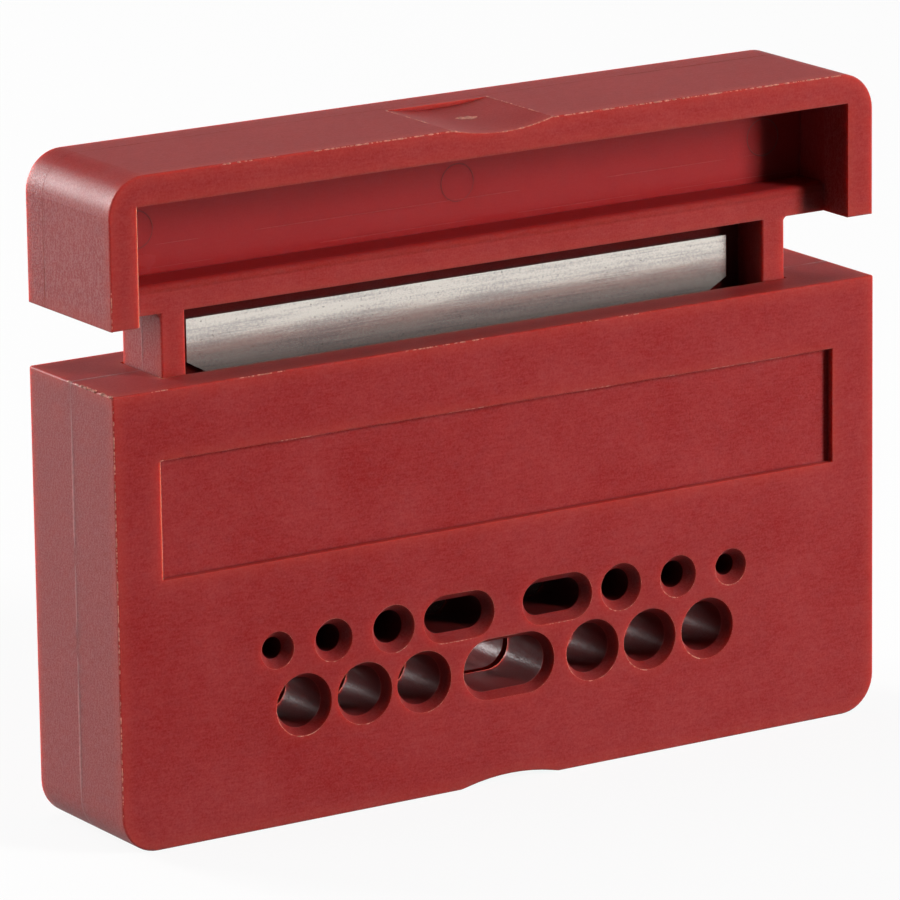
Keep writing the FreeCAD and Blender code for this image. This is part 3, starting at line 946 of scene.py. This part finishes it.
class CUTTER_OT_mouth_burrs(bpy.types.Operator):
    """Small burrs on the rims of the passage mouths, mostly at their lower left, where they also paint the
    lit flares' highlight
    """

    bl_idname = "cutter.mouth_burrs"
    bl_label = "Mouth burrs"

    def execute(self, context):
        sizes = context.scene.cutter_sizes
        # More pale burrs at the lower left, where the flares catch the light: burrs and a painted highlight
        lit_lower_left = math.radians(-115)
        lines = []
        for number, (x, height, radius, run) in enumerate(all_mouths()):
            path = mouth_outline(x, height, radius, run, sizes.crumb_step)
            turn = np.arctan2(path[:, 2] - height, path[:, 0] - x)
            weight = 0.2 + 0.8 * np.clip(np.cos(turn - lit_lower_left), 0, 1) ** 2
            lines.append(crumb_line(path, FORWARDS, sizes, seed=61 + 2 * number, cover=0.55, scale=0.6,
                                    weight=weight, closed=True))
        new_piece("mouth_burrs", joined(lines), "flash_plastic", "block")
        return {"FINISHED"}


class CUTTER_OT_wall_marks(bpy.types.Operator):
    """Ejector rings, darkened as painted shadow lines, and fine mould lines on the wall behind the finger
    hollow
    """

    bl_idname = "cutter.wall_marks"
    bl_label = "Wall marks"

    def execute(self, context):
        sizes = context.scene.cutter_sizes
        width, height = sizes.hairline_width, sizes.hairline_height
        turn = np.linspace(0, 2 * math.pi, RING_POINTS, endpoint=False)
        circle = EJECTOR_RADIUS * np.stack([np.cos(turn), np.sin(turn)], axis=1)
        rings, lines = [], []
        for number, middle in enumerate(EJECTOR_PLACES):
            path = in_plane(circle + np.array([middle, EJECTOR_HEIGHT]), WALL_FACE)
            rise = height * (0.5 + 0.7 * uneven(len(path), reach=6, seed=91 + number))
            rings.append(bead(path, FORWARDS, width, rise, HAIRLINE_SINK, closed=True))
        for number, level in enumerate(WALL_LINES):
            path = stations([(-WALL_END, WALL_FACE, level), (WALL_END, WALL_FACE, level)], LINE_STEP)
            rise = height * (0.3 + 0.5 * uneven(len(path), reach=8, seed=97 + number))
            lines.append(bead(path, FORWARDS, 0.7 * width, rise, HAIRLINE_SINK))
        new_piece("ejector_rings", joined(rings), "ring_plastic", "plunger_unit")
        new_piece("wall_lines", joined(lines), "mark_plastic", "plunger_unit")
        return {"FINISHED"}


class CUTTER_OT_gate_mark(bpy.types.Operator):
    """The torn stub of the mould's gate in the cap's scoop"""

    bl_idname = "cutter.gate_mark"
    bl_label = "Gate mark"

    def execute(self, context):
        rearwards = (GATE_Y - FRONT_Y) / (SCOOP_END - FRONT_Y)
        floor = CAP_TOP - SCOOP_DEPTH - rearwards * (SCOOP_REAR_DEPTH - SCOOP_DEPTH)
        mounds = []
        for (x, y), (half_length, half_width), height, seed in GATE_MOUNDS:
            centre = (GATE_X + x * MM, GATE_Y + y * MM, floor)
            mounds.append(rough_dome(centre, (half_length * MM, half_width * MM), height * MM, seed))
        new_piece("gate_mark", joined(mounds), "flash_plastic", "plunger_unit")
        return {"FINISHED"}


class CUTTER_OT_stage(bpy.types.Operator):
    """Floor, background, lamps and camera"""

    bl_idname = "cutter.stage"
    bl_label = "Studio"

    def execute(self, context):
        studio = context.scene.cutter_studio
        make_floor()
        make_world(studio.ambient)
        for name, size, direction, distance, mirrored in LAMPS:
            power = getattr(studio, name + "_power")
            make_lamp(name + "_lamp", power, size, Vector(direction), distance, mirrored)
        make_camera(studio)
        context.scene.view_settings.view_transform = "Standard"
        return {"FINISHED"}


class CUTTER_PT_panel(bpy.types.Panel):
    """The cutter's steps and settings"""

    bl_label = "Fibre Cutter"
    bl_idname = "CUTTER_PT_panel"
    bl_space_type = "VIEW_3D"
    bl_region_type = "UI"
    bl_category = "Fibre Cutter"

    def draw(self, context):
        for step in STEPS:
            self.layout.operator(step.bl_idname)
        for name in GROUPS:
            settings = getattr(context.scene, name)
            box = self.layout.box()
            for label in settings.__annotations__:
                box.prop(settings, label)


GROUPS = {"cutter_colours": CutterColours, "cutter_sizes": CutterSizes, "cutter_studio": StudioSettings}
STEPS = (
    CUTTER_OT_finishes,
    CUTTER_OT_seam_ridges,
    CUTTER_OT_parting_lines,
    CUTTER_OT_cap_flash,
    CUTTER_OT_block_flash,
    CUTTER_OT_mouth_burrs,
    CUTTER_OT_wall_marks,
    CUTTER_OT_gate_mark,
    CUTTER_OT_stage,
)
CLASSES = (*GROUPS.values(), *STEPS, CUTTER_PT_panel)


def register():
    """Registers the classes and adds their settings to the scene."""
    for cls in CLASSES:
        bpy.utils.register_class(cls)
    for name, cls in GROUPS.items():
        setattr(bpy.types.Scene, name, PointerProperty(type=cls))


def unregister():
    """Takes away what register added, in reverse."""
    for name in GROUPS:
        delattr(bpy.types.Scene, name)
    for cls in reversed(CLASSES):
        bpy.utils.unregister_class(cls)


def main():
    """Makes every piece and the studio."""
    register()
    bpy.ops.cutter.finishes()
    bpy.ops.cutter.seam_ridges()
    bpy.ops.cutter.parting_lines()
    bpy.ops.cutter.cap_flash()
    bpy.ops.cutter.block_flash()
    bpy.ops.cutter.mouth_burrs()
    bpy.ops.cutter.wall_marks()
    bpy.ops.cutter.gate_mark()
    bpy.ops.cutter.stage()


if __name__ == "__main__":
    main()
